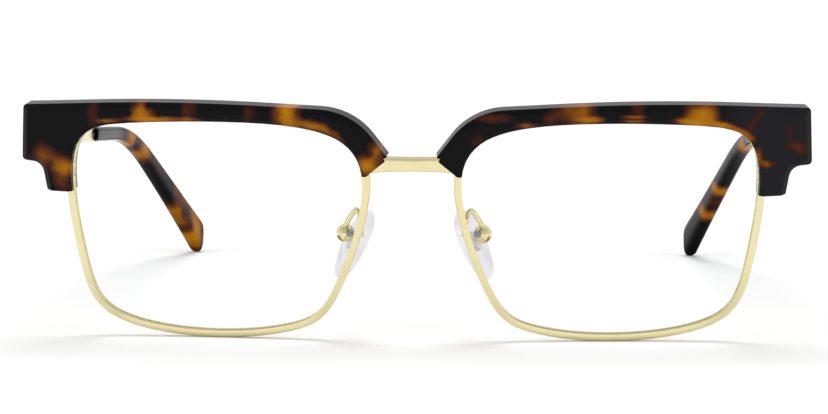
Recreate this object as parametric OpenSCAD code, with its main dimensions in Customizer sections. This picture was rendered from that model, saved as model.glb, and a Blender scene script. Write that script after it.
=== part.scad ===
// Browline glasses standing on the eye wires and the temple tips.
// +X is to the viewer's right, +Y runs back along the temples and +Z is up.
// The origin is on the floor under the middle of the glasses.

/* [Lenses] */
// Width of a lens across its groove line
lens_w = 54.9; // [50:0.1:58]
// Height of a lens across its groove line
lens_h = 40.5; // [36:0.1:44]
// Distance between the two lenses at their nearest
lens_gap = 17.5; // [15:0.1:21]
// Thickness of a lens
lens_t = 1.9; // [1.6:0.1:2.4]
// Radius of the curve that lens, eye wire and brow follow
base_r = 180; // [140:5:260]
// Angle that each eye turns back from the middle
wrap = 4; // [0:0.5:7]
// Angle that the front leans forward while the glasses stand
lean = 8; // [4:0.5:11]

/* [Eye wire] */
// Width of the wire seen from the front
wire_w = 1.35; // [1.1:0.05:1.6]
// Depth of the wire from front to back
wire_d = 1.7; // [1.5:0.05:1.9]
// How far the lens bevel stands in the wire
bevel_h = 0.5; // [0.35:0.05:0.6]
// Gap between the two ends of the wire at its lock
split_gap = 0.12; // [0.08:0.01:0.2]

/* [Brow] */
// How far the brow's outer edge stands outside the lens
lug_out = 9.55; // [8.5:0.05:11]
// Acetate in front of the middle of the wire
brow_front = 2.2; // [1.8:0.1:2.8]
// Acetate behind the middle of the wire
brow_back = 2.4; // [2:0.1:3]
// Height of the brow above the lens
brow_over = 3.6; // [3:0.05:4.5]
// How far the brow's lip reaches over the wire
brow_lip = 1.25; // [1:0.05:1.4]
// Distance between the two brow ends over the nose
tip_gap = 8.6; // [6:0.1:10]
// Height of the brow's end face at its upper corner, below the crest
tip_drop = 10.6; // [9:0.1:12]
// Height of that end face
tip_face = 3.2; // [2.6:0.1:4]
// Height of the end of the brow's nose corner below its crest
shoulder_drop = 1.8; // [0.8:0.1:2.5]
// Distance of the nose corner from the middle of the glasses
shoulder_x = 11; // [9:0.1:13]
// Radius of the nose corner
shoulder_r = 13; // [8:0.5:14]
// Height of the outer lug from top to bottom
lug_h = 10.3; // [9:0.1:12]
// Drop of the outer top corner below the crest
lug_drop = 2; // [0.8:0.1:2.5]
// Width of the step from the lug in to the tail
step_w = 4; // [2.5:0.1:5]
// Radius inside the step
step_r = 2.2; // [1:0.1:3]
// Length of the tail below the lug
tail_h = 5.4; // [5:0.1:7]
// Width of the bevel round the outer edge
bevel_out = 1; // [0.5:0.1:1.3]
// Depth of the bevel round the outer edge
bevel_out_d = 0.7; // [0.3:0.1:1]
// Width of the bevel along the lens
bevel_in = 0.8; // [0.4:0.1:1]
// Depth of the bevel along the lens
bevel_in_d = 0.6; // [0.3:0.1:0.8]

/* [Bridge] */
// Height of the bridge bar in its middle
bridge_h = 2.6; // [2:0.1:3.4]
// Depth of the bridge bar from front to back
bridge_d = 1.7; // [1.3:0.05:1.8]
// Height of the top of the bar, below the crest of the brow
bridge_drop = 10.3; // [9.8:0.1:11]
// How much lower the bar's underside is at the eye wires
bridge_flare = 0.4; // [0:0.1:1.4]
// How far the bar bows forward between the eye wires
bridge_bow = 0.3; // [0:0.05:0.6]

/* [Hinge] */
// Outer radius of the hinge barrel
knuckle_r = 1.5; // [1.3:0.05:1.7]
// Height of one knuckle
knuckle_h = 0.84; // [0.7:0.02:0.95]
// Gap between neighbouring knuckles
knuckle_gap = 0.05; // [0.04:0.01:0.08]
// Radius of the hinge screw
hinge_screw_r = 0.6; // [0.5:0.05:0.7]
// Radial clearance of the screw in the turning knuckles
run_gap = 0.03; // [0.02:0.01:0.06]
// Distance of the hinge axis in from the brow's outer edge
hinge_inset = 5.4; // [5:0.05:5.6]
// Distance of the hinge axis behind the lens centres
hinge_y = 11; // [10.6:0.1:12]
// Height of the hinge axis point, below the crest of the brow
hinge_drop = 9.05; // [8:0.05:9.8]

/* [Temple] */
// Length of the bare metal arm from hinge to tip sleeve
arm_len = 47; // [38:0.5:56]
// Height of the metal arm
arm_h = 3.1; // [2.8:0.1:3.6]
// Thickness of the metal arm
arm_t = 1.3; // [1:0.05:1.5]
// Angle that the temples open outward
splay = 0.8; // [0:0.1:1.5]
// Straight length of the acetate tip before the ear bend
tip_straight = 27; // [22:0.5:34]
// Radius of the ear bend
bend_r = 50; // [40:1:70]
// Angle of the ear bend
bend_a = 28; // [20:1:34]
// Length of the tip behind the ear bend
tip_tail = 39; // [30:0.5:42]
// Radius of the tip behind the ear bend
tail_r = 200; // [140:5:300]
// Thickness of the acetate tip at its front
tip_t = 3; // [2.7:0.1:3.4]
// Thickness of the acetate tip at its end
tip_end_t = 3.5; // [3:0.1:4]
// Height of the acetate tip at its front
tip_h = 3.1; // [3:0.1:4]
// Height of the acetate tip near its end
tip_end_h = 8; // [6:0.1:9]
// How far the tips turn in behind the ears
tip_inset = 11; // [6:0.2:12]
// Radius of the core wire inside the acetate tip
core_r = 0.7; // [0.5:0.05:0.8]
// Length of the core wire inside the acetate tip
core_len = 28; // [18:0.5:30]

/* [Nose pads] */
// Length of a pad
pad_l = 14.6; // [12:0.1:16]
// Width of a pad
pad_w = 8; // [6.5:0.1:8.5]
// Thickness of a pad
pad_t = 2.5; // [2:0.1:3]
// Radius of the rounded pad box
pad_box_r = 1.7; // [1.6:0.05:1.9]
// Radius of the pad arm's wire
pad_wire_r = 0.52; // [0.42:0.02:0.6]
// Sideways lean of a pad, top inward
pad_front_a = 34; // [26:1:38]
// Backward lean of a pad against the front
pad_back_a = 20; // [12:1:24]
// Turn of a pad about its length
pad_splay_a = 22; // [16:1:28]

/* [Hidden] */
$fn = 48;

gold = [0.86, 0.77, 0.52];
steel = [0.7, 0.7, 0.72];
tortoise = [0.2, 0.1, 0.06];
clear_lens = [0.85, 0.9, 0.92, 0.35];
clear_pad = [0.88, 0.88, 0.92, 0.7];

// Shape of the lens as the control points of a closed cubic B-spline.
// They are shares of half the lens width and half the lens height.
lens_shape = [[0.92, -0.42], [1.08, 0.89], [0.61, 0.98], [-0.135, 1.02], [-0.885, 0.945],
              [-1.08, 0.43], [-0.775, -0.715], [-0.605, -0.925], [0.02, -1.04], [0.835, -0.91]];
// Where on the B-spline the eye wire is split, in control spans
lock_t = 0.7;
curve_n = 80;

// Points and lists
function unit(v) = v / norm(v);
function flat(l) = [for (a = l) for (b = a) b];
function mix(a, b, t) = a + (b - a) * t;
function span(c, i) = c[((i % len(c)) + len(c)) % len(c)];

// A point of the closed B-spline at parameter u, counted in control spans
function spline_at(c, u) =
    let (i = floor(u), t = u - i, s = 1 - t)
    (s * s * s * span(c, i - 1)
     + (3 * t * t * t - 6 * t * t + 4) * span(c, i)
     + (3 * s * s * s - 6 * s * s + 4) * span(c, i + 1)
     + t * t * t * span(c, i + 2)) / 6;

// The lens outline, sized so that its box is exactly lens_w by lens_h
function box_low(p, k) = min([for (q = p) q[k]]);
function box_high(p, k) = max([for (q = p) q[k]]);
function sized(p) =
    let (x0 = box_low(p, 0), x1 = box_high(p, 0), y0 = box_low(p, 1), y1 = box_high(p, 1))
    [for (q = p) [(q.x - (x0 + x1) / 2) * lens_w / (x1 - x0), (q.y - (y0 + y1) / 2) * lens_h / (y1 - y0)]];
spans = len(lens_shape);
lens_curve = sized([for (k = [0:curve_n - 1]) spline_at(lens_shape, lock_t + spans * k / curve_n)]);

// The outward normals of the lens outline and the outline moved out by e
curve_normal = [for (k = [0:curve_n - 1])
    let (t = unit(span(lens_curve, k + 1) - span(lens_curve, k - 1))) [t.y, -t.x]];
function curve_off(e) = [for (k = [0:curve_n - 1]) lens_curve[k] + e * curve_normal[k]];

// From a point in the eye's own plane to the front's frame, d mm behind the base curve
eye_x = (lens_gap + lens_w) / 2;
wire_out = wire_w - 0.35;
wire_in = wire_out - wire_w;
eye_z = lens_h / 2 + wire_out;
function sag(a, b) = (a * a + b * b) / (2 * base_r);
function eye(a, b, d) =
    let (dd = d + sag(a, b))
    [eye_x + a * cos(wrap) - dd * sin(wrap), a * sin(wrap) + dd * cos(wrap), eye_z + b];

// A closed skin over rings of points, with flat fans or given triangles at its ends
function ring_faces(n, m) = [for (i = [0:n - 2]) for (j = [0:m - 1])
    let (a = i * m + j, b = i * m + (j + 1) % m)
    each [[a, b, b + m], [a, b + m, a + m]]];
function fan(m) = [for (j = [1:m - 2]) [0, j + 1, j]];
module skin(rings, cap) {
    m = len(rings[0]);
    n = len(rings);
    last = (n - 1) * m;
    first_cap = is_undef(cap) ? fan(m) : cap;
    last_cap = [for (t = first_cap) [t[0] + last, t[2] + last, t[1] + last]];
    polyhedron(points = flat(rings), faces = concat(ring_faces(n, m), first_cap, last_cap), convexity = 6);
}
// The same with a single point closing each end
module domed_skin(rings, first, final) {
    m = len(rings[0]);
    n = len(rings);
    p = n * m;
    first_cap = [for (j = [0:m - 1]) [p, (j + 1) % m, j]];
    last_cap = [for (j = [0:m - 1]) [p + 1, (n - 1) * m + j, (n - 1) * m + (j + 1) % m]];
    polyhedron(points = concat(flat(rings), [first, final]),
               faces = concat(ring_faces(n, m), first_cap, last_cap), convexity = 6);
}

// A round wire along points, as rings square to the route
function sweep_ring(p, dir, r, m) =
    let (side = unit(cross(dir, [0.13, 0.97, 0.21])), up = cross(side, dir))
    [for (j = [0:m - 1]) p + r * (cos(360 * j / m) * side + sin(360 * j / m) * up)];

// The arc that rounds corner q between its neighbours p and r, as n + 1 points
function corner_arc(p, q, r, rad, n) =
    let (u = unit(p - q), w = unit(r - q), half = acos(u * w) / 2,
         c = q + unit(u + w) * rad / sin(half),
         a0 = q + u * rad / tan(half) - c, a1 = q + w * rad / tan(half) - c, turn = 180 - 2 * half)
    [for (k = [0:n]) c + (a0 * sin((1 - k / n) * turn) + a1 * sin(k / n * turn)) / sin(turn)];

// How the glasses stand: the front leans and its lowest wire edge meets the floor
foot_round = 0.3;
foot_y = foot_round - wire_d / 2 + sag(0, eye_z);
stand_z = -foot_y * sin(lean);
// Distance from the lens centres back to the origin
stand_y = -63.74;
function stood(p) = [p.x, p.y * cos(lean) - p.z * sin(lean) + stand_y,
                     p.y * sin(lean) + p.z * cos(lean) + stand_z];
module stand() translate([0, stand_y, stand_z]) rotate([lean, 0, 0]) children();
module side(s) mirror([s < 0 ? 1 : 0, 0, 0]) children();

// Brow outline, from the nose end over the top to the tail, as corners [point, radius, arc steps]
crest = eye_z + lens_h / 2 + brow_over;
lug_x = lens_gap / 2 + lens_w + lug_out;
bridge_z = crest - bridge_drop;
hinge_x = lug_x - hinge_inset;
hinge_z = crest - hinge_drop;
lug_top = crest - lug_drop;
lug_low = lug_top - lug_h;
tail_z = lug_low - tail_h;
tail_x = lug_x - step_w - 0.9;
crest_x = eye_x + 6.8;
crest_r = 290;
lug_rake = 0.4;
corners = [[[tip_gap / 2, crest - tip_drop], 0.5, 2], [[shoulder_x, crest - shoulder_drop], shoulder_r, 9],
           [[crest_x, crest], crest_r, 8], [[lug_x - lug_rake, lug_top], 0.7, 3], [[lug_x, lug_low], 0.7, 3],
           [[lug_x - step_w, lug_low - 0.3], step_r, 5], [[tail_x, tail_z], 0.4, 3]];

// The two end faces of the brow reach this far inside the sides of the lens
end_in = 0.25;

// The outline inset by e: each corner moves to where its two edges cross again
function edge_normal(p, q) = let (t = unit(q - p)) [-t.y, t.x];
function cross2(a, b) = a.x * b.y - a.y * b.x;
function moved(p, q, r, e) =
    let (t0 = unit(q - p), t1 = unit(r - q), p0 = q + e * edge_normal(p, q), p1 = q + e * edge_normal(q, r))
    p0 + t0 * cross2(p1 - p0, t1) / cross2(t0, t1);
first_end = [eye_x - lens_w / 2 + end_in, crest - tip_drop - tip_face];
last_end = [eye_x + lens_w / 2 - end_in, tail_z];
function corner_at(i) = i < 0 ? first_end : i >= len(corners) ? last_end : corners[i][0];
function inset_corner(i, e) =
    i < 0 || i >= len(corners) ? corner_at(i)
    : i == 0 || i == len(corners) - 1
        ? let (keep = i == 0 ? corner_at(-1) : corner_at(len(corners)), q = corner_at(i),
               n = i == 0 ? edge_normal(q, corner_at(1)) : edge_normal(corner_at(i - 1), q),
               t = unit(q - keep))
          q + t * e / (t * n)
        : moved(corner_at(i - 1), corner_at(i), corner_at(i + 1), e);
function turns_in(i) = let (a = corner_at(i) - corner_at(i - 1), b = corner_at(i + 1) - corner_at(i))
    cross2(a, b) > 0;
function rounded_at(i, e) =
    let (r = corners[i][1], rr = turns_in(i) ? r - e : max(r + e, 0.03))
    corner_arc(inset_corner(i - 1, e), inset_corner(i, e), inset_corner(i + 1, e), rr, corners[i][2]);
// Points added along the straight stretch after each corner
edge_steps = [2, 1, 9, 4, 1, 2, 0];
function outline(e) =
    let (arcs = [for (i = [0:len(corners) - 1]) rounded_at(i, e)])
    [for (i = [0:len(corners) - 1]) each concat(arcs[i],
        i == len(corners) - 1 || edge_steps[i] == 0 ? []
        : let (a = arcs[i][len(arcs[i]) - 1], b = arcs[i + 1][0], n = edge_steps[i] + 1)
          [for (k = [1:n - 1]) mix(a, b, k / n)])];

// Rays from a pole in the lens find the matching points on the lens outline
pole = [eye_x, tail_z];
function ray_angle(p) = atan2(p.y - pole.y, p.x - pole.x);
function on_curve(angle, e) =
    let (c = curve_off(e), t = [for (q = c) let (p = q + [eye_x, eye_z]) [ray_angle(p), p.x, p.y]])
    [lookup(angle, [for (q = t) [q[0], q[1]]]), lookup(angle, [for (q = t) [q[0], q[2]]])];
tip_ray = ray_angle(corners[0][0]);
root_ray = ray_angle(first_end);
function inner_ray(angle) = lookup(angle, [[0, 0], [tip_ray - 30, tip_ray - 30], [tip_ray, root_ray]]);

// Grooves and lips of the brow, measured out from the lens outline
groove_half = wire_d / 2 + 0.08;
groove_e = wire_out + 0.1;
lip_e = wire_out - brow_lip;
back_round = 0.4;
module brow_body() {
    outer = outline(0);
    bevelled = outline(-bevel_out);
    backed = outline(-back_round);
    rings = [for (k = [0:len(outer) - 1])
        let (ray = inner_ray(ray_angle(outer[k])),
             groove = on_curve(ray, groove_e), lip = on_curve(ray, lip_e),
             lip_bevel = on_curve(ray, lip_e + bevel_in), lip_back = on_curve(ray, lip_e + back_round))
        [for (q = [[groove, -groove_half], [lip, -groove_half], [lip, bevel_in_d - brow_front],
                   [lip_bevel, -brow_front], [bevelled[k], -brow_front], [outer[k], bevel_out_d - brow_front],
                   [outer[k], brow_back - back_round], [backed[k], brow_back], [lip_back, brow_back],
                   [lip, brow_back - back_round], [lip, groove_half], [groove, groove_half]])
            eye(q[0].x - eye_x, q[0].y - eye_z, q[1])]];
    skin(rings, [[0, 2, 1], [0, 3, 2], [8, 10, 9], [8, 11, 10], [6, 8, 7], [6, 11, 8],
                 [6, 0, 11], [6, 3, 0], [6, 4, 3], [6, 5, 4]]);
}

// Clearance between pieces that are fitted together
gap = 0.05;
// Distance of the temple arm's inner face from the hinge axis
arm_x = knuckle_r + 0.05;

// Rim lock and end piece, in the front's frame
lock_z = eye(lens_curve[0].x, lens_curve[0].y, 0).z;
lock_x = eye(lens_curve[0].x + wire_out, lens_curve[0].y, 0).x - 0.12;
lock_y = eye(lens_curve[0].x + wire_out, lens_curve[0].y, 0).y - 0.1;
block_w = 2.45;
block_d = 2.6;
block_h = 2.2;
lock_screw = [lock_x + 1.4, lock_y + 1.45];
seat_y = lock_y + 2.3;
plate_t = 1.2;
plate_x0 = lock_x - 0.4;
plate_x1 = hinge_x + arm_x + arm_t + 0.1;
plate_z0 = max(lug_low + 0.8, lock_z + 1.4);
plate_z1 = hinge_z + 4.2;
brow_screw_p = [lock_x + 1, plate_z0 + 1.3];
brow_screw_r = 0.7;
bridge_y = 0.2;
// Where the brow starts to cover the bridge, the bridge is still this far forward of its ends
slot_bow = bridge_bow * (1 - pow(tip_gap / lens_gap, 2));

// Hinge and temple, in the temple's frame: origin on the axis, +Y along the arm, +Z up the axis
stack_h = 5 * knuckle_h + 4 * knuckle_gap;
pitch = knuckle_h + knuckle_gap;
function knuckle_z(i) = -stack_h / 2 + i * pitch;
bend_l = bend_r * bend_a * PI / 180;
tip_len = tip_straight + bend_l + tip_tail;
function heading(s) = s <= tip_straight ? 0
    : s <= tip_straight + bend_l ? (s - tip_straight) / bend_r * 180 / PI
    : bend_a + (s - tip_straight - bend_l) / tail_r * 180 / PI;
function route(s) = s <= tip_straight ? [s, 0]
    : s <= tip_straight + bend_l ? [tip_straight, 0] + bend_r * [sin(heading(s)), cos(heading(s)) - 1]
    : [tip_straight, 0] + bend_r * [sin(bend_a), cos(bend_a) - 1]
      + tail_r * [sin(heading(s)) - sin(bend_a), cos(heading(s)) - cos(bend_a)];
function past_bend(s) = max(0, (s - tip_straight) / (tip_len - tip_straight));
// How late the tip gains its height behind the bend
tip_swell = 1.5;
// How far the tip's end face leans forward at its upper edge
tip_rake = 0.3;
function tip_height(s) = tip_h + (tip_end_h - tip_h) * pow(past_bend(s), tip_swell);
function tip_thick(s) = mix(tip_t, tip_end_t, s / tip_len);
// Each corner of the tip's end is rounded off: how far its edge has moved in at s
end_round = 2;
function end_cut(s) = s < tip_len - end_round ? 0
    : end_round - sqrt(max(0, end_round * end_round - pow(s - tip_len + end_round, 2)));
// Lowest corner of the tip seen from the hinge: it meets the floor and sets the temple's slope
function low_at(s) = let (h = heading(s), half = tip_height(s) / 2 - end_cut(s))
    [arm_len, 0] + route(s) - half * [sin(h), cos(h)];
low_s = [for (k = [0:12]) low_at(tip_len - end_round * k / 12)];
hinge_p = stood([hinge_x, hinge_y, hinge_z]);
function slope_for(q) = asin(hinge_p.z / norm(q)) - atan2(-q[1], q[0]);
slope = min([for (q = low_s) slope_for(q)]);
module temple_frame() translate(hinge_p) rotate([-slope, 0, 0]) children();

module barrel(i, clear) {
    translate([0, 0, knuckle_z(i)]) difference() {
        cylinder(r = knuckle_r, h = knuckle_h);
        translate([0, 0, -1]) cylinder(r = hinge_screw_r + clear, h = knuckle_h + 2);
    }
}

module brow(s) {
    color(tortoise) stand() side(s) difference() {
        brow_body();
        // pocket for the rim lock, open to the back and the bottom
        translate([lock_x - gap, lock_y - gap, tail_z - 1])
            cube([block_w + 2 * gap, 9, lock_z + block_h + gap - tail_z + 1]);
        // flat seat for the end piece
        translate([plate_x0 - gap, seat_y - gap, plate_z0 - gap])
            cube([plate_x1 - plate_x0 + 2 * gap, 9, plate_z1 - plate_z0 + 2 * gap]);
        translate([lock_x - gap, seat_y - gap, lock_z])
            cube([block_w + 2 * gap, 9, plate_z0 - lock_z + gap]);
        // hole for the brow screw
        translate([brow_screw_p.x, seat_y - 2.9, brow_screw_p.y]) rotate([-90, 0, 0])
            cylinder(r = brow_screw_r + 0.02, h = 5);
        // slot that lets the bridge reach the wire
        translate([-1, bridge_y - bridge_d / 2 - slot_bow - gap, bridge_z - bridge_h - bridge_flare - 2])
            cube([lens_gap / 2 + 1.85, 9, bridge_h + bridge_flare + 2.1 + gap]);
    }
}

module rim(s) {
    half = wire_d / 2;
    c = foot_round;
    section = [[wire_in, -bevel_h], [wire_in + bevel_h, 0], [wire_in, bevel_h], [wire_in, half],
               [wire_out - c, half], [wire_out, half - c], [wire_out, c - half], [wire_out - c, -half],
               [wire_in, -half]];
    // the split leaves the two ends of the wire apart
    nip = split_gap / norm(lens_curve[1] - lens_curve[0]) / 2;
    first = mix(lens_curve[0], lens_curve[1], nip);
    final = mix(lens_curve[0], lens_curve[curve_n - 1], nip);
    stations = concat([[first, curve_normal[0]]],
                      [for (k = [1:curve_n - 1]) [lens_curve[k], curve_normal[k]]],
                      [[final, curve_normal[0]]]);
    rings = [for (q = stations) [for (e = section)
        let (p = q[0] + e[0] * q[1]) eye(p.x, p.y, e[1])]];
    color(gold) stand() side(s)
        skin(rings, [[1, 0, 8], [1, 8, 7], [1, 7, 6], [1, 6, 5], [1, 5, 4], [1, 4, 3], [1, 3, 2]]);
}

module lens(s) {
    // the bevel stands in the wire's groove, and the faces follow the base curve
    apex = wire_in + bevel_h - gap;
    foot = wire_in - gap;
    profile = [[foot, -lens_t / 2], [foot, gap - bevel_h], [apex, 0], [foot, bevel_h - gap], [foot, lens_t / 2]];
    rim_rings = [for (e = profile) [for (k = [0:curve_n - 1])
        let (p = lens_curve[k] + e[0] * curve_normal[k]) eye(p.x, p.y, e[1])]];
    function face_ring(share, d) = [for (k = [0:curve_n - 1])
        let (p = share * (lens_curve[k] + foot * curve_normal[k])) eye(p.x, p.y, d)];
    rings = concat([face_ring(0.4, -lens_t / 2), face_ring(0.75, -lens_t / 2)], rim_rings,
                   [face_ring(0.75, lens_t / 2), face_ring(0.4, lens_t / 2)]);
    color(clear_lens) stand() side(s)
        domed_skin(rings, eye(0, 0, -lens_t / 2), eye(0, 0, lens_t / 2));
}

module bridge() {
    // a bar with rounded edges between the two eye wires, bowed forward and flared at its ends
    steps = 14;
    span_x = lens_gap / 2 - wire_out + 0.15;
    rings = [for (k = [0:steps])
        let (t = 2 * k / steps - 1, x = span_x * t,
             y = bridge_y - bridge_bow * (1 - t * t), top = bridge_z + 0.1 * t * t,
             low = bridge_z - bridge_h - bridge_flare * t * t, r = 0.45, w = bridge_d / 2)
        [for (q = [[r - w, low], [-w, low + r], [-w, top - r], [r - w, top],
                   [w - r, top], [w, top - r], [w, low + r], [w - r, low]]) [x, y + q[0], q[1]]]];
    color(gold) stand() skin(rings);
}

module end_piece(s) {
    butt = arm_x + arm_t;
    color(gold) difference() {
        union() {
            stand() side(s) {
                // upper half of the rim lock
                translate([lock_x, lock_y, lock_z + gap]) cube([block_w, block_d, block_h - gap]);
                // plate on the back of the brow, and the neck that joins it to the lock
                translate([plate_x0, seat_y, plate_z0]) cube([plate_x1 - plate_x0, plate_t, plate_z1 - plate_z0]);
                translate([lock_x, seat_y, lock_z + gap]) cube([block_w, plate_t, plate_z0 - lock_z]);
            }
            side(s) temple_frame() {
                translate([-1.1, -3.7, -stack_h / 2]) cube([butt + 1.1, 3.7 - knuckle_r - gap, stack_h]);
                translate([arm_x, -2, -arm_h / 2]) cube([arm_t, 2.1, arm_h]);
                for (i = [0, 2, 4]) {
                    barrel(i, 0.02);
                    translate([0, 0, knuckle_z(i)]) difference() {
                        translate([-1.1, -knuckle_r - 0.2, 0]) cube([2.2, knuckle_r + 0.2, knuckle_h]);
                        translate([0, 0, -1]) cylinder(r = hinge_screw_r + 0.3, h = knuckle_h + 2);
                    }
                }
            }
        }
        // holes for the closing screw and the brow screw
        stand() side(s) {
            translate([lock_screw.x, lock_screw.y, lock_z - 1]) cylinder(r = 0.62, h = block_h + 0.5);
            translate([brow_screw_p.x, seat_y - 1, brow_screw_p.y]) rotate([-90, 0, 0])
                cylinder(r = brow_screw_r + 0.02, h = plate_t + 2);
        }
    }
}

module closing_block(s) {
    color(gold) stand() side(s) difference() {
        translate([lock_x, lock_y, lock_z - block_h]) cube([block_w, block_d, block_h - gap]);
        translate([lock_screw.x, lock_screw.y, lock_z - block_h - 1]) cylinder(r = 0.62, h = block_h + 2);
        translate([lock_screw.x, lock_screw.y, lock_z - block_h - 1]) cylinder(r = 1.02, h = 1.6);
    }
}

module closing_screw(s) {
    color(steel) stand() side(s) translate([lock_screw.x, lock_screw.y, lock_z - block_h]) difference() {
        union() {
            cylinder(r = 0.98, h = 0.58);
            cylinder(r = 0.6, h = block_h + 1.4);
        }
        translate([-1.2, -0.12, -0.2]) cube([2.4, 0.24, 0.45]);
    }
}

module brow_screw(s) {
    color(steel) stand() side(s) translate([brow_screw_p.x, seat_y, brow_screw_p.y]) rotate([-90, 0, 0])
        difference() {
            union() {
                translate([0, 0, -2.8]) cylinder(r = brow_screw_r, h = 2.9 + plate_t);
                translate([0, 0, plate_t + 0.01]) cylinder(r = 1.15, h = 0.5);
            }
            translate([-1.3, -0.15, plate_t + 0.25]) cube([2.6, 0.3, 1]);
        }
}

module temple_hinge(s) {
    color(gold) side(s) temple_frame() {
        for (i = [1, 3]) {
            barrel(i, run_gap);
            translate([0, 0, knuckle_z(i)]) difference() {
                translate([0, 0, 0]) cube([knuckle_r, 2.3, knuckle_h]);
                translate([0, 0, -1]) cylinder(r = hinge_screw_r + 0.3, h = knuckle_h + 2);
            }
        }
        rotate([0, 0, -splay]) translate([0.5, knuckle_r + 0.2, -arm_h / 2 + 0.15])
            cube([arm_x - 0.5, 7.5, arm_h - 0.3]);
    }
}

module hinge_screw(s) {
    color(steel) side(s) temple_frame() difference() {
        union() {
            translate([0, 0, -stack_h / 2]) cylinder(r = hinge_screw_r, h = stack_h + 0.1);
            translate([0, 0, stack_h / 2 + 0.02]) cylinder(r = 1.05, h = 0.55);
        }
        translate([-1.2, -0.13, stack_h / 2 + 0.3]) cube([2.4, 0.26, 1]);
    }
}

module temple_arm(s) {
    color(gold) side(s) temple_frame() rotate([0, 0, -splay]) {
        // flat bar with its long edges taken off
        translate([arm_x, 0.2, 0]) rotate([-90, 0, 0]) linear_extrude(arm_len - 0.2)
            polygon([[0, -arm_h / 2 + 0.3], [0.3, -arm_h / 2], [arm_t - 0.3, -arm_h / 2],
                     [arm_t, -arm_h / 2 + 0.3], [arm_t, arm_h / 2 - 0.3], [arm_t - 0.3, arm_h / 2],
                     [0.3, arm_h / 2], [0, arm_h / 2 - 0.3]]);
        translate([arm_x + arm_t / 2, arm_len - 1, 0]) rotate([-90, 0, 0])
            cylinder(r = core_r, h = core_len + 1);
    }
}

module temple_tip(s) {
    points = 16;
    stops = concat([0, 0.5], [for (k = [1:5]) tip_straight * k / 6],
                   [for (k = [0:14]) mix(tip_straight, tip_len - end_round, k / 14)],
                   [for (a = [18, 36, 54, 70, 82]) tip_len - end_round + end_round * sin(a)]);
    function ring(st) =
        let (h = heading(st), p = route(st), cut = end_cut(st) + (st == 0 ? 0.2 : 0),
             hh = tip_height(st) / 2 - cut, tt = tip_thick(st) / 2 - cut * 0.55,
             x = arm_x + arm_t / 2 - tip_inset * pow(past_bend(st), 1.4))
        [for (j = [0:points - 1])
            let (a = 360 * (j + 0.5) / points, ca = cos(a), sa = sin(a),
                 u = tt * sign(ca) * pow(abs(ca), 0.62), v = hh * sign(sa) * pow(abs(sa), 0.62),
                 lag = tip_rake * (v + hh) * pow(past_bend(st), 3))
            [x + u, arm_len + p[0] + v * sin(h) - lag * cos(h), p[1] + v * cos(h) + lag * sin(h)]];
    color(tortoise) side(s) temple_frame() rotate([0, 0, -splay]) difference() {
        skin([for (st = stops) ring(st)]);
        translate([arm_x + arm_t / 2, arm_len - 1, 0]) rotate([-90, 0, 0])
            cylinder(r = core_r + 0.02, h = core_len + 1.1);
    }
}

// Nose pads: the pad frame's origin is the middle of the pad box, -X faces the nose
pad_origin = [lens_gap / 2 + 4.05, 6, eye_z - 2.35];
lug_hole = 0.35;
module pad_frame() translate(pad_origin) rotate([-pad_back_a, -pad_front_a, -pad_splay_a]) children();
box_face = -1.15;
tab_t = 0.95;
pad_x = box_face - 0.3;

module pad_arm(s) {
    // the wire leaves the back of the eye wire, loops up and comes down into the pad box
    wire_back = eye(0.85 - lens_w / 2, -1.6, wire_d / 2 - 0.15);
    knots = [wire_back, wire_back + [0.1, 1, 1.4], pad_origin + [-3.1, -2, 3.4], pad_origin + [-2.3, -1, 5.3],
             pad_origin + [-1.2, -0.4, 3.6], pad_origin + [0, -0.2, 1.5]];
    last = len(knots) - 1;
    ends = concat([2 * knots[0] - knots[1]], knots, [2 * knots[last] - knots[last - 1]]);
    function wire_at(u) = let (i = min(floor(u), last - 1), t = u - i, w = 1 - t)
        (w * w * w * ends[i] + (3 * t * t * t - 6 * t * t + 4) * ends[i + 1]
         + (3 * w * w * w - 6 * w * w + 4) * ends[i + 2] + t * t * t * ends[i + 3]) / 6;
    turns = 26;
    rings = [for (k = [0:turns])
        let (u = last * k / turns, d = unit(wire_at(min(u + 0.02, last)) - wire_at(max(u - 0.02, 0))))
        sweep_ring(wire_at(u), d, pad_wire_r, 10)];
    color(gold) stand() side(s) skin(rings);
}

module pad_box(s) {
    color(gold) stand() side(s) pad_frame() difference() {
        sphere(r = pad_box_r);
        translate([box_face - 5, -5, -5]) cube([5, 10, 10]);
        // slot for the insert's tab
        translate([-5, -tab_t / 2 - gap, -5]) cube([5 + lug_hole + 0.85, tab_t + 2 * gap, 10]);
        // cross hole for the pad screw
        translate([lug_hole - 0.5, 4, 0]) rotate([90, 0, 0]) cylinder(r = 0.47, h = 8);
        translate([lug_hole - 0.5, -1.25, 0]) rotate([90, 0, 0]) cylinder(r = 0.77, h = 4);
    }
}

module pad_screw(s) {
    color(steel) stand() side(s) pad_frame() translate([lug_hole - 0.5, 0, 0]) rotate([90, 0, 0]) {
        difference() {
            union() {
                translate([0, 0, -1.5]) cylinder(r = 0.45, h = 2.8);
                translate([0, 0, 1.27]) cylinder(r = 0.72, h = 0.45);
            }
            translate([-1, -0.1, 1.5]) cube([2, 0.2, 1]);
        }
    }
}

module pad_insert(s) {
    color(steel) stand() side(s) pad_frame() difference() {
        union() {
            // tab that turns on the screw, and the plate that holds the pad
            translate([pad_x - 0.4, -tab_t / 2, -0.8]) cube([lug_hole - 0.5 - pad_x + 0.4, tab_t, 1.6]);
            translate([lug_hole - 0.5, tab_t / 2, 0]) rotate([90, 0, 0]) cylinder(r = 0.8, h = tab_t);
            translate([pad_x - 0.9, 0, -0.4]) rotate([0, 90, 0]) cylinder(r = 1.9, h = 0.55);
        }
        translate([lug_hole - 0.5, 4, 0]) rotate([90, 0, 0]) cylinder(r = 0.48, h = 8);
    }
}

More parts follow.
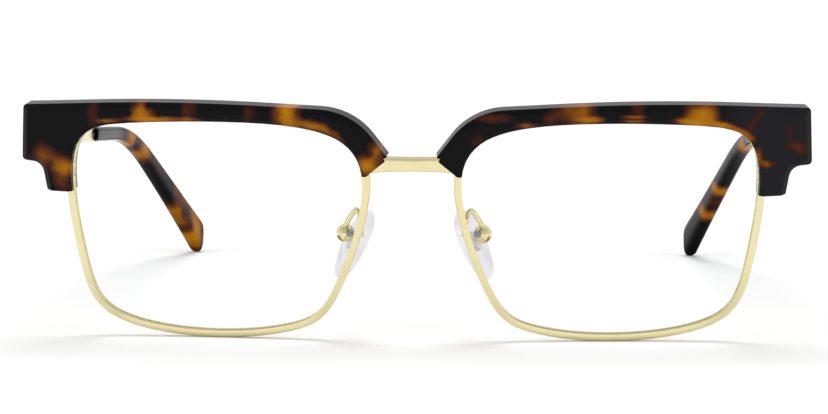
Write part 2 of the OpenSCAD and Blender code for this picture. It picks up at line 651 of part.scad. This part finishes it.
module nose_pad(s) {
    points = 28;
    function pad_ring(share, x) = [for (j = [0:points - 1])
        let (a = 360 * j / points)
        [x, -share * pad_w / 2 * sin(a) * (1 + 0.14 * cos(a)), share * pad_l / 2 * cos(a) - 1]];
    rings = [for (q = [[0.8, 0], [0.95, 0.12], [1, 0.35], [0.98, 0.6], [0.88, 0.82], [0.62, 0.97]])
        pad_ring(q[0], pad_x - pad_t * q[1])];
    color(clear_pad) stand() side(s) pad_frame() difference() {
        skin(rings);
        // pocket that holds the insert
        translate([pad_x - 0.95, 0, -0.4]) rotate([0, 90, 0]) cylinder(r = 1.95, h = 2);
    }
}

brow(-1);  // left_brow
brow(1);  // right_brow
rim(-1);  // left_rim
rim(1);  // right_rim
bridge();
lens(-1);  // left_lens
lens(1);  // right_lens
end_piece(-1);  // left_end_piece
end_piece(1);  // right_end_piece
closing_block(-1);  // left_closing_block
closing_block(1);  // right_closing_block
closing_screw(-1);  // left_closing_screw
closing_screw(1);  // right_closing_screw
brow_screw(-1);  // left_brow_screw
brow_screw(1);  // right_brow_screw
pad_arm(-1);  // left_pad_arm
pad_arm(1);  // right_pad_arm
pad_box(-1);  // left_pad_box
pad_box(1);  // right_pad_box
pad_screw(-1);  // left_pad_screw
pad_screw(1);  // right_pad_screw
nose_pad(-1);  // left_nose_pad
nose_pad(1);  // right_nose_pad
pad_insert(-1);  // left_pad_insert
pad_insert(1);  // right_pad_insert
temple_hinge(-1);  // left_temple_hinge
temple_hinge(1);  // right_temple_hinge
hinge_screw(-1);  // left_hinge_screw
hinge_screw(1);  // right_hinge_screw
temple_arm(-1);  // left_temple_arm
temple_arm(1);  // right_temple_arm
temple_tip(-1);  // left_temple_tip
temple_tip(1);  // right_temple_tip
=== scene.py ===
"""Browline glasses: finishes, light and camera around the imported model."""
import math

import bpy
from mathutils import Matrix, Vector


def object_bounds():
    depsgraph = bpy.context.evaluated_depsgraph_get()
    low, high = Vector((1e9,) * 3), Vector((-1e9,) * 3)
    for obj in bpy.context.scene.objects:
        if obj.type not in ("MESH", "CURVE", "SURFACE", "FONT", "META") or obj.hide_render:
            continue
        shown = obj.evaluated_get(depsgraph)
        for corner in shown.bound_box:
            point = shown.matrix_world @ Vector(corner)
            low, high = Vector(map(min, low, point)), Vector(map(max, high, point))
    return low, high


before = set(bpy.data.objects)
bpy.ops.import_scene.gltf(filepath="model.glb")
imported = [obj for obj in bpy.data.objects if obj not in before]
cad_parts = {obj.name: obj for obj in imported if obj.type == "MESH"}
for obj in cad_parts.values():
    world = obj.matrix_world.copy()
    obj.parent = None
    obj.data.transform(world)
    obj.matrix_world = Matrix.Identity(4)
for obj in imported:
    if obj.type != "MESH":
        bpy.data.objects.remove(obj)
cad_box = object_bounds()

MM = 0.001
FAR = 1.0   # metres, far beyond the part: it leaves a direction or an end out
WHITE = (1, 1, 1, 1)
NOISE_MEAN = 0.5

# Sockets of the colour Mix node whose names aren't unique
MIX_A = 6
MIX_B = 7
MIX_RESULT = 2


def linear(r, g, b):
    """An sRGB colour, 0 to 255, as Blender's linear colour."""
    def one(c):
        c /= 255
        return c / 12.92 if c <= 0.04045 else ((c + 0.055) / 1.055) ** 2.4
    return (one(r), one(g), one(b), 1.0)


def grey(level):
    return (level, level, level, 1)


class Graph:
    """Short calls for building a node tree."""

    def __init__(self, tree):
        self.tree = tree
        tree.nodes.clear()

    def add(self, kind, inputs=None, **settings):
        """A new node; its settings come first, because some of them change its sockets."""
        node = self.tree.nodes.new(kind)
        for key, value in settings.items():
            setattr(node, key, value)
        for key, value in (inputs or {}).items():
            self.put(node.inputs[key], value)
        return node

    def put(self, socket, value):
        """Links another node's output to a socket, or sets the socket to a plain value."""
        if isinstance(value, bpy.types.NodeSocket):
            self.tree.links.new(value, socket)
        else:
            socket.default_value = value

    def calc(self, operation, *values):
        node = self.add("ShaderNodeMath", operation=operation)
        for socket, value in zip(node.inputs, values):
            self.put(socket, value)
        return node.outputs["Value"]

    def between(self, low, high, share):
        """A value that goes from low to high while share goes from 0 to 1."""
        return self.calc("ADD", low, self.calc("MULTIPLY", share, high - low))

    def vector(self, operation, *values):
        node = self.add("ShaderNodeVectorMath", operation=operation)
        for socket, value in zip(node.inputs, values):
            self.put(socket, value)
        return node.outputs["Value" if operation == "LENGTH" else "Vector"]

    def noise(self, scale, detail=3.0, roughness=0.55, colour=False):
        """Noise in the object's own space; scale is in waves per metre."""
        node = self.add("ShaderNodeTexNoise", {"Vector": self.place, "Scale": scale, "Detail": detail,
                                               "Roughness": roughness})
        return node.outputs["Color" if colour else "Fac"]

    def ramp(self, value, stops):
        node = self.add("ShaderNodeValToRGB", {"Fac": value})
        marks = node.color_ramp.elements
        while len(marks) < len(stops):
            marks.new(0.5)   # the loop below sets the places
        for mark, (place, colour) in zip(marks, stops):
            mark.position = place
            mark.color = colour
        return node.outputs["Color"]

    def mix(self, factor, a, b):
        node = self.add("ShaderNodeMix", {"Factor": factor, MIX_A: a, MIX_B: b}, data_type="RGBA")
        return node.outputs[MIX_RESULT]

    def smooth(self, value, low, high):
        """0 at low and 1 at high, with a soft start and end; low may be the larger one."""
        node = self.add("ShaderNodeMapRange", {"Value": value, "From Min": low, "From Max": high},
                        interpolation_type="SMOOTHSTEP")
        return node.outputs["Result"]


def new_material(name):
    material = bpy.data.materials.new(name)
    material.use_nodes = True
    graph = Graph(material.node_tree)
    graph.out = graph.add("ShaderNodeOutputMaterial").inputs["Surface"]
    graph.place = graph.add("ShaderNodeTexCoord").outputs["Object"]
    return material, graph


def surface(graph, **inputs):
    """The Principled shader as the surface, with its inputs by name."""
    named = {key.replace("_", " "): value for key, value in inputs.items()}
    node = graph.add("ShaderNodeBsdfPrincipled", named)
    graph.put(graph.out, node.outputs["BSDF"])


# Tortoiseshell acetate: soft patches of warm colour in a near-black ground
BLACK = linear(10, 10, 11)
DARK_RED = linear(64, 26, 15)
RUST = linear(102, 54, 8)
AMBER = linear(160, 97, 2)
HONEY = linear(186, 127, 6)
SLATE = linear(27, 26, 31)
# The colour at each warmth
TORTOISE = [(0.0, BLACK), (0.1, BLACK), (0.3, DARK_RED), (0.5, RUST), (0.76, AMBER), (1.0, HONEY)]

PATCH_EDGE = 1.9                               # a patch ends at this many times its half size
PATCH_DRIFT = (3.6 * MM, 3.6 * MM, 1.2 * MM)   # how strongly noise moves their outlines
DRIFT_SCALE = 210
GRAIN_SCALE = 620
GRAIN_SHARE = 0.1

# The ground turns from black to slate towards one end of the right brow
SLATE_START = 54.5 * MM
SLATE_FADE = 6 * MM
SLATE_FULL = 0.12   # slate alone where the warmth is below this
SLATE_NONE = 0.3    # no slate where it is above this

ACETATE_IOR = 1.48
ACETATE_ROUGH = (0.1, 0.15)
ACETATE_FINE_SCALE = 9000
ACETATE_BUMP = 0.04
ACETATE_BUMP_DEPTH = 0.02 * MM
BROW_GLOSS = 0.09
TIP_GLOSS = 0.03

# A patch is (x, z, half width, half height, tilt in degrees, warmth), in millimetres on
# the front. One with a warmth below zero darkens what comes before it in its list.
LEFT_BROW = [
    # lug
    (-68.8, 34.3, 2.0, 1.7, 0, 0.5), (-66.6, 33.0, 2.2, 1.5, 0, 0.44), (-64.3, 31.8, 1.9, 1.6, 0, 0.8),
    (-66.9, 32.4, 0.6, 0.8, 0, -0.35), (-64.8, 28.9, 1.8, 1.8, 0, 0.38),
    # above the lens, from the lug to the middle
    (-58.6, 41.9, 1.3, 3.0, 0, 0.27), (-55.6, 40.5, 2.0, 0.45, 0, 0.66),
    (-49.6, 43.2, 1.2, 2.0, 0, 0.58), (-49.1, 41.9, 1.7, 1.2, 0, 0.72), (-47.4, 41.0, 4.6, 0.55, 0, 0.88),
    (-40.6, 41.1, 2.4, 0.4, 0, 0.5), (-40.7, 42.7, 1.5, 2.2, 0, 0.32),
    # above the lens, from the middle to the bend, and along the lower edge there
    (-29.3, 42.0, 1.2, 2.0, 0, 0.27), (-22.4, 42.2, 1.9, 4.0, 0, 0.9),
    # along the lower edge: amber that is partly the pattern and partly painted glow of light shining
    # through the lower bevel
    (-18.4, 40.0, 2.6, 0.9, -12, 0.76), (-15.4, 39.0, 2.0, 0.8, -25, 0.54),
    (-13.0, 37.9, 1.5, 0.7, -40, 0.34),
    # end at the bridge
    (-7.9, 32.8, 2.3, 1.8, 0, 0.9), (-6.1, 35.6, 1.4, 1.5, 0, 0.66), (-7.7, 34.9, 0.7, 0.6, 0, -0.5),
]
RIGHT_BROW = [
    # from the bend at the bridge to the middle
    (14.4, 41.6, 3.6, 0.9, 0, 0.34), (11.8, 37.4, 1.4, 1.4, 0, 0.24), (21.0, 40.3, 2.1, 0.6, 0, 0.62),
    (25.4, 41.6, 1.4, 1.4, 0, 0.34), (27.8, 43.0, 1.5, 1.8, 0, 0.42), (30.8, 42.7, 2.2, 3.6, 0, 0.64),
    (32.4, 41.4, 2.0, 0.6, 0, 0.72), (40.8, 43.6, 1.1, 2.0, 0, 0.28),
    (40.1, 41.9, 2.2, 0.3, 0, 0.6), (40.1, 41.15, 2.2, 0.3, 0, 0.6),
    # bright patch, and the amber that follows the lower edge from it down to the lug
    # the amber along the lower edge is partly the pattern and partly painted glow of light shining
    # through the lower bevel
    (52.4, 42.3, 2.5, 1.9, 0, 0.9), (51.0, 40.9, 2.8, 0.7, -4, 0.94), (55.6, 40.4, 2.2, 0.7, -8, 0.9),
    (59.2, 39.3, 2.2, 0.7, -25, 0.74), (61.3, 38.0, 1.2, 0.7, -45, 0.54),
    (63.1, 34.8, 0.5, 1.8, 0, 0.62), (64.0, 33.2, 0.8, 0.8, 0, 0.52), (65.4, 33.3, 1.2, 0.6, 0, 0.34),
    # faint patches over the lug
    (62.9, 42.5, 1.2, 1.5, 0, 0.28), (61.4, 40.2, 1.5, 1.4, 0, 0.28), (67.2, 42.7, 2.0, 0.7, 0, 0.22),
    (68.4, 39.5, 1.5, 1.2, 0, 0.26), (69.0, 36.8, 1.5, 1.5, 0, 0.28), (71.2, 36.3, 1.4, 1.7, 0, 0.3),
]
# Patches of the temple tips, with y in place of x
LEFT_TIP = [
    (26.0, 31.0, 5.6, 4.0, 0, 0.86), (35.4, 28.0, 3.4, 2.6, -36, 0.8),
    (29.0, 28.6, 2.4, 2.0, 0, -0.8), (32.3, 26.8, 3.0, 1.8, 0, 0.62), (43.5, 23.5, 5.0, 2.0, -36, 0.3),
    (54.2, 16.6, 2.6, 2.2, -36, 0.46), (59.6, 13.9, 3.4, 2.2, 0, 0.56), (54.2, 12.0, 2.6, 1.5, -36, 0.5),
    (56.7, 9.5, 3.2, 2.0, -36, 0.88), (64.3, 7.0, 4.0, 6.0, 0, 0.84), (61.0, 3.4, 4.6, 3.6, 0, 0.84),
    (58.3, 10.2, 2.0, 1.6, 0, -0.5), (61.0, 7.0, 2.0, 1.7, 0, -0.6),
]
RIGHT_TIP = [
    (24.9, 29.6, 4.0, 3.6, 0, 0.86), (47.2, 18.2, 4.2, 1.9, 17, 0.84), (56.0, 11.9, 4.4, 2.0, 17, 0.8),
    (50.8, 15.0, 3.0, 1.6, 17, 0.3), (64.0, 5.2, 4.0, 4.0, 0, 0.12),
]


def patch_field(graph, warped, patches, across):
    """How warm the acetate is at a point: patches that overlap add up towards 1."""
    field = 0.0
    for along, up, wide, high, tilt, warmth in patches:
        angle = math.radians(tilt)
        if across == "x":
            centre = (along * MM, 0, up * MM)
            turn = (0, -angle, 0)
            size = (wide * MM, FAR, high * MM)
        else:
            centre = (0, along * MM, up * MM)
            turn = (angle, 0, 0)
            size = (FAR, wide * MM, high * MM)
        inside = graph.add("ShaderNodeMapping", {"Vector": warped, "Location": centre, "Rotation": turn,
                                                 "Scale": size}, vector_type="TEXTURE")
        distance = graph.vector("LENGTH", inside.outputs["Vector"])
        share = graph.calc("MULTIPLY", graph.smooth(distance, PATCH_EDGE, 0.0), abs(warmth))
        rest = graph.calc("MULTIPLY", field, graph.calc("SUBTRACT", 1.0, share))
        field = graph.calc("ADD", rest, share) if warmth > 0 else rest
    return field


def acetate(name, patches, across="x", slate_from=FAR, gloss=BROW_GLOSS):
    material, graph = new_material(name)
    middle = (NOISE_MEAN, NOISE_MEAN, NOISE_MEAN)
    wobble = graph.vector("SUBTRACT", graph.noise(DRIFT_SCALE, colour=True), middle)
    warped = graph.vector("ADD", graph.place, graph.vector("MULTIPLY", wobble, PATCH_DRIFT))
    field = patch_field(graph, warped, patches, across)
    grain = graph.noise(GRAIN_SCALE, detail=4, roughness=0.6)
    speckle = graph.calc("MULTIPLY", graph.calc("SUBTRACT", grain, NOISE_MEAN), GRAIN_SHARE)
    field = graph.calc("ADD", field, speckle)
    place_x = graph.add("ShaderNodeSeparateXYZ", {"Vector": graph.place}).outputs["X"]
    slate = graph.calc("MULTIPLY", graph.smooth(place_x, slate_from, slate_from + SLATE_FADE),
                       graph.smooth(field, SLATE_NONE, SLATE_FULL))
    colour = graph.mix(slate, graph.ramp(field, TORTOISE), SLATE)
    rough = graph.between(*ACETATE_ROUGH, graph.noise(ACETATE_FINE_SCALE, detail=2))
    bump = graph.add("ShaderNodeBump", {"Strength": ACETATE_BUMP, "Distance": ACETATE_BUMP_DEPTH,
                                        "Height": grain})
    surface(graph, Base_Color=colour, Roughness=rough, IOR=ACETATE_IOR, Specular_IOR_Level=gloss,
            Normal=bump.outputs["Normal"])
    return material


# Metals, each with the two colours and the two roughnesses that its noise runs between
GOLD_PALE = linear(238, 228, 181)
GOLD_DEEP = linear(231, 219, 169)
GOLD_ROUGH = (0.14, 0.22)
GOLD_CLOUD_SCALE = 420
GOLD_FINE_SCALE = 5200
GOLD_BUMP = 0.05
GOLD_BUMP_DEPTH = 0.01 * MM
STEEL_BRIGHT = linear(178, 178, 180)
STEEL_DARK = linear(142, 142, 146)
STEEL_ROUGH = (0.2, 0.36)
STEEL_SCALE = 7000
NICKEL_BRIGHT = linear(248, 248, 247)
NICKEL_DARK = linear(236, 236, 235)
NICKEL_METALLIC = 0.15   # mostly a pale matt surface, faint through the pad
NICKEL_ROUGH = (0.28, 0.38)
NICKEL_SCALE = 4000


def gold():
    material, graph = new_material("pale_gold")
    colour = graph.mix(graph.noise(GOLD_CLOUD_SCALE), GOLD_PALE, GOLD_DEEP)
    fine = graph.noise(GOLD_FINE_SCALE)
    bump = graph.add("ShaderNodeBump", {"Strength": GOLD_BUMP, "Distance": GOLD_BUMP_DEPTH,
                                        "Height": fine})
    surface(graph, Base_Color=colour, Metallic=1.0, Roughness=graph.between(*GOLD_ROUGH, fine),
            Normal=bump.outputs["Normal"])
    return material


def plain_metal(name, bright, dark, metallic, rough, scale):
    """A fine-grained metal without relief."""
    material, graph = new_material(name)
    fine = graph.noise(scale, detail=2)
    surface(graph, Base_Color=graph.mix(fine, bright, dark), Metallic=metallic,
            Roughness=graph.between(*rough, fine))
    return material


# Clear plastic
LENS_TINT = linear(254, 255, 255)
PAD_TINT = linear(236, 234, 236)
CLEAR_ROUGH = 0.05
GRAZING_POWER = 4.0   # the higher, the more the shine keeps to the edges


def clear(name, tint, cloudy, gloss, haze_scale):
    """Thin clear plastic: it lets everything through and shows a faint shine."""
    material, graph = new_material(name)
    haze = graph.noise(haze_scale, detail=2)
    colour = graph.mix(graph.calc("MULTIPLY", haze, cloudy), WHITE, tint)
    through = graph.add("ShaderNodeBsdfTransparent", {"Color": colour})
    rough = graph.calc("MULTIPLY", haze, CLEAR_ROUGH)
    shine = graph.add("ShaderNodeBsdfGlossy", {"Color": WHITE, "Roughness": rough})
    facing = graph.add("ShaderNodeLayerWeight", {"Blend": 0.5}).outputs["Facing"]
    share = graph.calc("MULTIPLY", graph.calc("POWER", facing, GRAZING_POWER), gloss)
    both = graph.add("ShaderNodeMixShader", {0: share, 1: through.outputs["BSDF"],
                                             2: shine.outputs["BSDF"]})
    graph.put(graph.out, both.outputs["Shader"])
    return material


# Facets that meet within this angle, in degrees, are shaded as one curve
SMOOTH = {"bridge": 50, "brow": 20, "rim": 50, "temple_tip": 50, "pad_arm": 60, "nose_pad": 60}
SMOOTH_ELSEWHERE = 30
SAME_PLACE_DIGITS = 7   # corners whose places agree to this many digits of a metre are one
OWN_SHARE = 1e-12       # a trace of the face's own normal, so that no sum is empty


def corner(mesh, index):
    return tuple(round(c, SAME_PLACE_DIGITS) for c in mesh.vertices[index].co)


def run_smooth(mesh, limit):
    """Shading normals that run over facets that meet within limit; no point moves."""
    widest = math.cos(math.radians(limit))
    around = {}
    for face in mesh.polygons:
        for index in face.vertices:
            around.setdefault(corner(mesh, index), []).append((face.normal.copy(), face.area))
    normals = [None] * len(mesh.loops)
    for face in mesh.polygons:
        face.use_smooth = True
        own = face.normal * OWN_SHARE
        for index in face.loop_indices:
            near = around[corner(mesh, mesh.loops[index].vertex_index)]
            total = sum((normal * area for normal, area in near if normal.dot(face.normal) > widest), own)
            normals[index] = total.normalized()
    mesh.normals_split_custom_set(normals)


def dress(materials):
    """Each CAD node gets its finish, gold unless it has another, and its smooth shading."""
    for name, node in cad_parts.items():
        part = name.removeprefix("left_").removeprefix("right_")
        material = materials.get(name) or materials.get(part) or materials["gold"]
        node.data.materials.clear()
        node.data.materials.append(material)
        run_smooth(node.data, SMOOTH.get(part, SMOOTH_ELSEWHERE))


steel = plain_metal("turned_steel", STEEL_BRIGHT, STEEL_DARK, metallic=1.0, rough=STEEL_ROUGH,
                    scale=STEEL_SCALE)
nickel = plain_metal("nickel", NICKEL_BRIGHT, NICKEL_DARK, metallic=NICKEL_METALLIC,
                     rough=NICKEL_ROUGH, scale=NICKEL_SCALE)
dress({
    "left_brow": acetate("tortoise_left_brow", LEFT_BROW),
    "right_brow": acetate("tortoise_right_brow", RIGHT_BROW, slate_from=SLATE_START),
    "left_temple_tip": acetate("tortoise_left_tip", LEFT_TIP, across="y", gloss=TIP_GLOSS),
    "right_temple_tip": acetate("tortoise_right_tip", RIGHT_TIP, across="y", gloss=TIP_GLOSS),
    "lens": clear("clear_lens", LENS_TINT, cloudy=1.0, gloss=0.1, haze_scale=300),
    "nose_pad": clear("clear_silicone", PAD_TINT, cloudy=1.4, gloss=0.45, haze_scale=260),
    "gold": gold(),
    "pad_insert": nickel,
    "closing_screw": steel,
    "brow_screw": steel,
    "pad_screw": steel,
    "hinge_screw": steel,
})


# Floor
FLOOR_SIZE = 80.0
FLOOR_GAP = 0.02 * MM   # below the part
FLOOR_GREY = 0.8
FLOOR_GRAIN = 0.015
FLOOR_GRAIN_SCALE = 60
FLOOR_GLOW = 0.07       # for the camera, and for what is seen through or in the part


def white_floor():
    """White paper: it keeps the object's shadow and is white to the camera elsewhere."""
    material, graph = new_material("paper_white")
    grain = graph.noise(FLOOR_GRAIN_SCALE, detail=2)
    colour = graph.mix(grain, grey(FLOOR_GREY), grey(FLOOR_GREY + FLOOR_GRAIN))
    light = graph.add("ShaderNodeLightPath").outputs
    seen = graph.calc("MAXIMUM", light["Is Camera Ray"], light["Is Glossy Ray"])
    seen = graph.calc("MAXIMUM", seen, light["Is Transmission Ray"])
    strength = graph.calc("MULTIPLY", seen, FLOOR_GLOW)
    glow = graph.add("ShaderNodeEmission", {"Color": WHITE, "Strength": strength})
    paper = graph.add("ShaderNodeBsdfDiffuse", {"Color": colour})
    both = graph.add("ShaderNodeAddShader", {0: glow.outputs["Emission"], 1: paper.outputs["BSDF"]})
    graph.put(graph.out, both.outputs["Shader"])
    return material


def floor():
    bpy.ops.mesh.primitive_plane_add(size=FLOOR_SIZE, location=(0, 0, cad_box[0][2] - FLOOR_GAP))
    plane = bpy.context.object
    plane.name = "floor"
    plane.data.materials.append(white_floor())


# Studio: what the room adds to a matt surface, and what a shiny one sees in it
AMBIENT = 0.5
FRONT_GLOSS = 0.65
SIDE_GLOSS = 1.0
BACK_GLOSS = 0.7
OVERHEAD_GLOSS = 0.8
# Where one of these passes into the next, as the y or z of a direction of length 1
FRONT_TO_SIDE = (-0.9, 0.0)
SIDE_TO_BACK = (0.2, 0.95)
LEVEL_TO_OVERHEAD = (0.35, 0.8)


def studio():
    """A white room; shiny faces see it a little darker in front, behind and overhead."""
    world = bpy.data.worlds.new("studio")
    bpy.context.scene.world = world
    world.use_nodes = True
    graph = Graph(world.node_tree)
    light = graph.add("ShaderNodeLightPath").outputs
    seen = graph.calc("MAXIMUM", light["Is Camera Ray"], light["Is Transmission Ray"])
    direction = graph.add("ShaderNodeTexCoord").outputs["Generated"]
    way = graph.add("ShaderNodeSeparateXYZ", {"Vector": direction}).outputs
    level = graph.between(FRONT_GLOSS, SIDE_GLOSS, graph.smooth(way["Y"], *FRONT_TO_SIDE))
    behind = graph.calc("MULTIPLY", graph.smooth(way["Y"], *SIDE_TO_BACK), SIDE_GLOSS - BACK_GLOSS)
    overhead = graph.between(1.0, OVERHEAD_GLOSS, graph.smooth(way["Z"], *LEVEL_TO_OVERHEAD))
    gloss = graph.calc("MULTIPLY", graph.calc("SUBTRACT", level, behind), overhead)
    shiny = light["Is Glossy Ray"]
    matt = graph.calc("MULTIPLY", graph.calc("SUBTRACT", 1.0, shiny), AMBIENT)
    strength = graph.calc("ADD", matt, graph.calc("MULTIPLY", shiny, gloss))
    sky = graph.add("ShaderNodeBackground", {"Color": WHITE,
                                             "Strength": graph.calc("MAXIMUM", seen, strength)})
    graph.add("ShaderNodeOutputWorld", {"Surface": sky.outputs["Background"]})


# Lamps: the place that each shines from, its strength, and its width in degrees
LAMPS = {
    "back_light": ((0.0, 0.3, 0.9), 1.75, 36),
    "front_left": ((-0.7, -0.6, 0.55), 0.62, 40),
    "front_right": ((0.7, -0.6, 0.55), 0.62, 40),
}


def soft_lamp(name, place, strength, width):
    """A far, wide lamp: the same light all over the floor, with a soft shadow."""
    data = bpy.data.lights.new(name, "SUN")
    data.energy = strength
    data.angle = math.radians(width)
    lamp = bpy.data.objects.new(name, data)
    lamp.rotation_euler = (-Vector(place)).to_track_quat("-Z", "Y").to_euler()
    lamp.visible_glossy = False   # shiny faces see the room, not a lamp
    bpy.context.scene.collection.objects.link(lamp)


# Camera: metres, degrees, and millimetres for the lens and its sensor
FRONT_Y = -0.06374
CAMERA_REACH = 0.390
CAMERA_UP = 0.06407
CAMERA_TURN = 3.1
CAMERA_PAN = -0.024
CAMERA_PITCH = 5.756
CAMERA_ROLL = 0.114
CAMERA_LENS = 92.33
CAMERA_SENSOR = 36
NEAR_LIMIT = 0.01
FAR_LIMIT = 100


def camera():
    """The photographed view: nearly level, a little from the right."""
    turn = math.radians(CAMERA_TURN)
    beside = math.sin(turn) * CAMERA_REACH
    before = math.cos(turn) * CAMERA_REACH
    place = Vector((beside, FRONT_Y - before, CAMERA_UP))
    heading = math.radians(CAMERA_TURN + CAMERA_PAN)
    look = Vector((-math.sin(heading), math.cos(heading), 0))
    right = Vector((math.cos(heading), math.sin(heading), 0))
    pitch = math.radians(CAMERA_PITCH)
    ahead = look * math.cos(pitch) - Vector((0, 0, 1)) * math.sin(pitch)
    up = right.cross(ahead)
    roll = math.radians(CAMERA_ROLL)
    side = right * math.cos(roll) + up * math.sin(roll)
    top = up * math.cos(roll) - right * math.sin(roll)

    data = bpy.data.cameras.new("camera")
    data.sensor_width = CAMERA_SENSOR
    data.lens = CAMERA_LENS
    data.clip_start = NEAR_LIMIT
    data.clip_end = FAR_LIMIT
    eye = bpy.data.objects.new("camera", data)
    eye.matrix_world = Matrix.Translation(place) @ Matrix((side, top, -ahead)).transposed().to_4x4()
    bpy.context.scene.collection.objects.link(eye)
    bpy.context.scene.camera = eye


floor()
studio()
for name, (place, strength, width) in LAMPS.items():
    soft_lamp(name, place, strength, width)
camera()
bpy.context.scene.view_settings.view_transform = "Standard"
